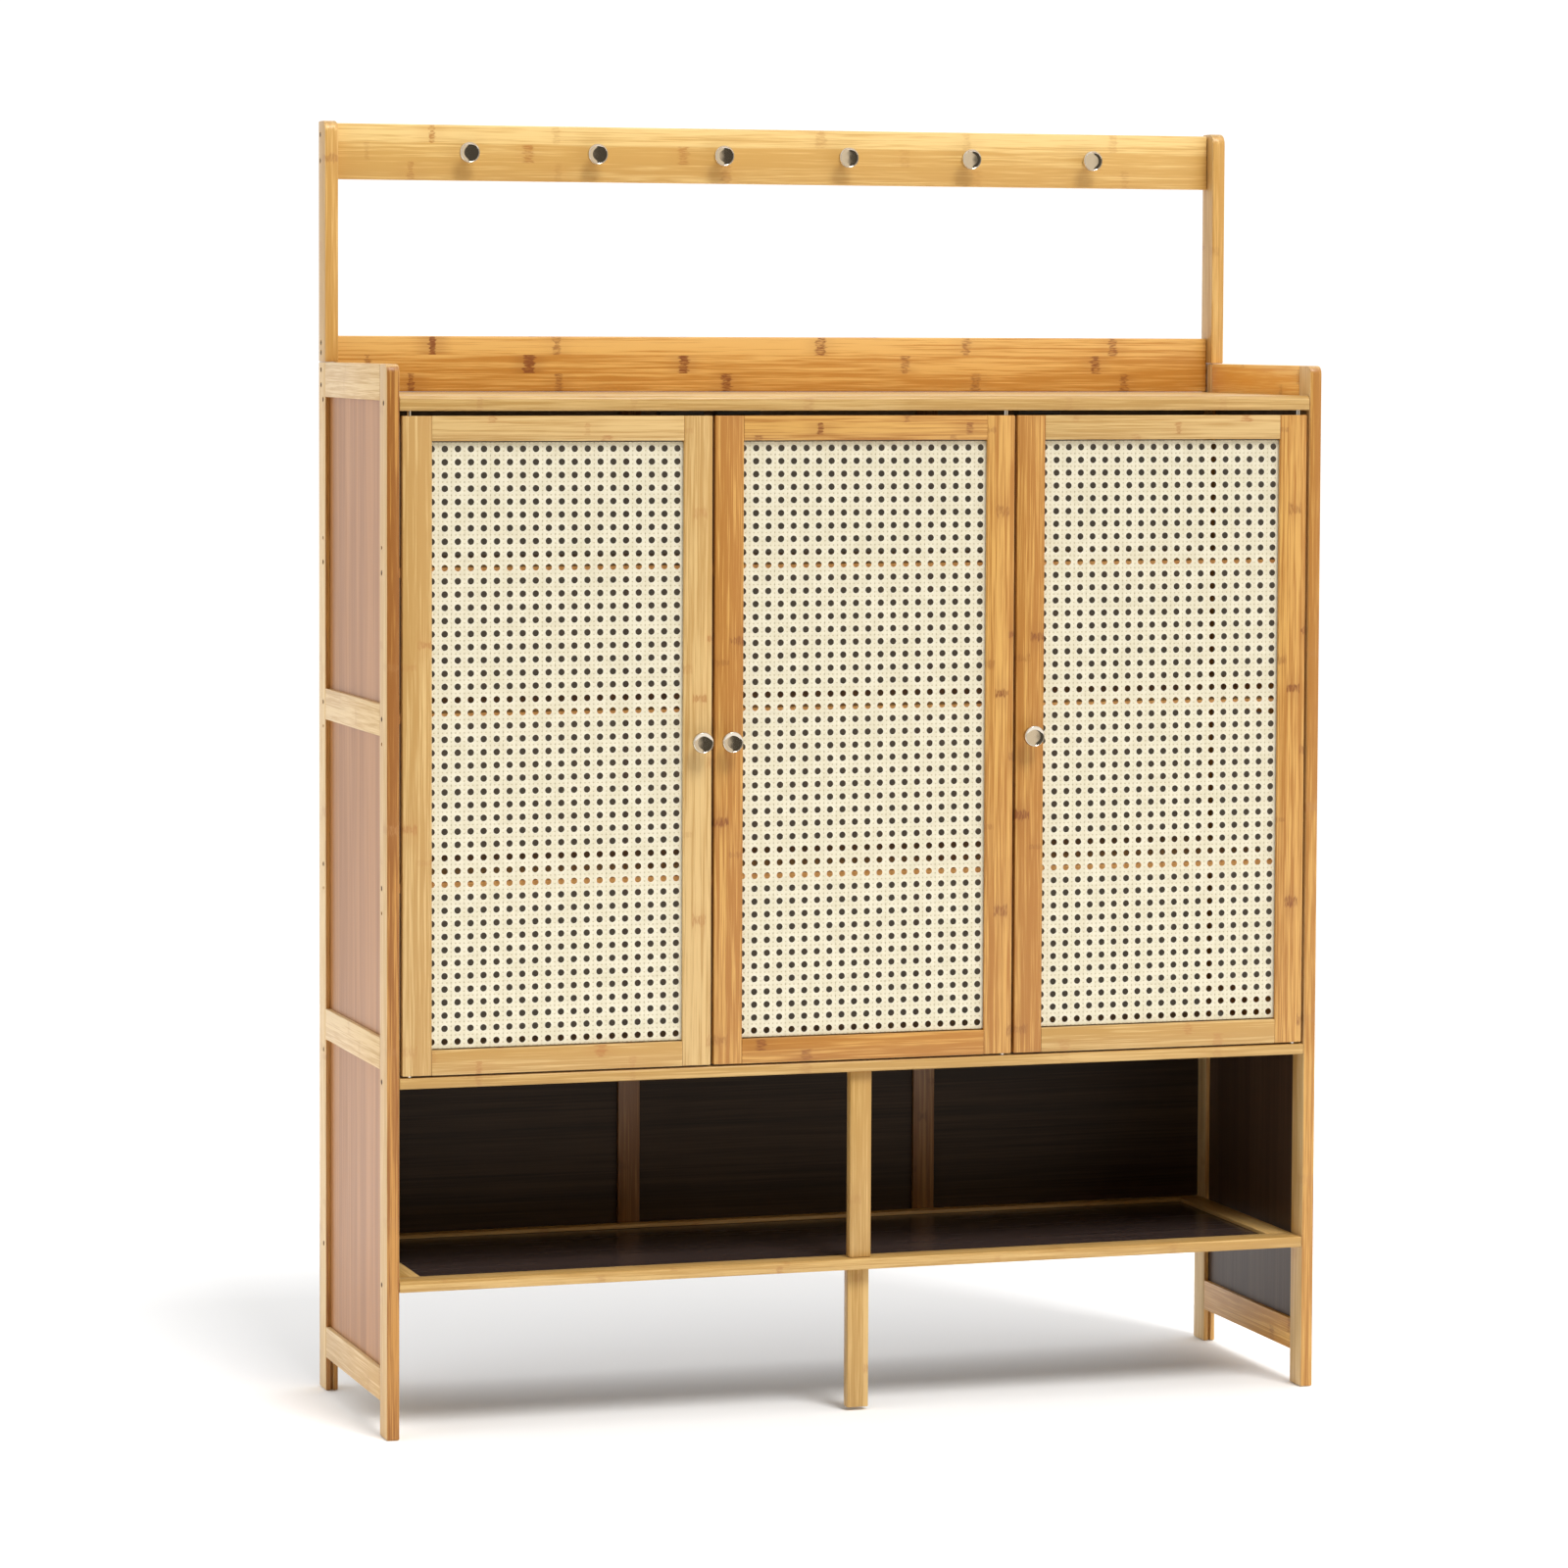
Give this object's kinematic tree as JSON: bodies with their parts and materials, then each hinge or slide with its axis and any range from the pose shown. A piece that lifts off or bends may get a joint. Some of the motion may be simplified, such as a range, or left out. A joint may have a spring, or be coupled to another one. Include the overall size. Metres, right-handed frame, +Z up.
{
  "type": "shoe cabinet",
  "caption": "Bamboo entryway shoe cabinet with cane-panelled doors, an open lower bay, a gallery top shelf and a raised rail of hook knobs.",
  "frame": {"origin": "on the floor, at the centre of the bounding box in X and Y, the door knobs included", "axes": "+X to the right of someone facing the doors, +Y towards the back, +Z up"},
  "size_m": [1, 0.3184, 1.322],
  "materials": {
    "bamboo": "satin lacquered bamboo, honey",
    "amber_bamboo": "satin lacquered bamboo, amber",
    "brown_board": "semi-gloss dark brown veneer",
    "cane": "woven cane sheet, cream",
    "chrome": "polished",
    "black_plastic": "matt black"
  },
  "bodies": {
    "carcass": {"back_batten_left": "amber_bamboo", "back_batten_right": "amber_bamboo", "back_panel_left": "brown_board", "back_panel_middle": "brown_board", "back_panel_right": "brown_board", "back_rail": "amber_bamboo", "bottom_shelf_frame": "bamboo", "bottom_shelf_panel": "brown_board", "centre_inner_shelf": "amber_bamboo", "centre_leg": "bamboo", "centre_post": "bamboo", "hook_knob_1": "chrome", "hook_knob_2": "chrome", "hook_knob_3": "chrome", "hook_knob_4": "chrome", "hook_knob_5": "chrome", "hook_knob_6": "chrome", "hook_rail": "bamboo", "left_bottom_rail": "bamboo", "left_door_catch": "black_plastic", "left_door_lower_pin": "chrome", "left_door_upper_pin": "chrome", "left_front_stile": "bamboo", "left_lower_mid_rail": "bamboo", "left_lower_panel": "brown_board", "left_middle_panel": "brown_board", "left_rear_stile": "bamboo", "left_top_rail": "bamboo", "left_upper_mid_rail": "bamboo", "left_upper_panel": "brown_board", "left_upper_post": "bamboo", "lower_inner_shelf": "amber_bamboo", "mid_shelf": "bamboo", "middle_door_catch": "black_plastic", "middle_door_lower_pin": "chrome", "middle_door_upper_pin": "chrome", "right_bottom_rail": "bamboo", "right_door_catch": "black_plastic", "right_door_lower_pin": "chrome", "right_door_upper_pin": "chrome", "right_front_stile": "bamboo", "right_lower_mid_rail": "bamboo", "right_lower_panel": "brown_board", "right_middle_panel": "brown_board", "right_rear_stile": "bamboo", "right_top_rail": "bamboo", "right_upper_mid_rail": "bamboo", "right_upper_panel": "brown_board", "right_upper_post": "bamboo", "top_shelf": "bamboo", "upper_inner_shelf": "amber_bamboo"},
    "left_door": {"left_door_frame": "bamboo", "left_door_cane_panel": "cane", "left_door_knob": "chrome"},
    "middle_door": {"middle_door_frame": "bamboo", "middle_door_cane_panel": "cane", "middle_door_knob": "chrome"},
    "right_door": {"right_door_frame": "bamboo", "right_door_cane_panel": "cane", "right_door_knob": "chrome"}
  },
  "joints": [
    {"name": "left_door_hinge", "type": "hinge", "parent": "carcass", "child": "left_door", "pos_m": [-0.47587, -0.13485, 0.6935], "axis": [0, 0, -1], "range_deg": [0, 110]},
    {"name": "middle_door_hinge", "type": "hinge", "parent": "carcass", "child": "middle_door", "pos_m": [0.15225, -0.13485, 0.6935], "axis": [0, 0, 1], "range_deg": [0, 110]},
    {"name": "right_door_hinge", "type": "hinge", "parent": "carcass", "child": "right_door", "pos_m": [0.47587, -0.13485, 0.6935], "axis": [0, 0, 1], "range_deg": [0, 110]}
  ]
}
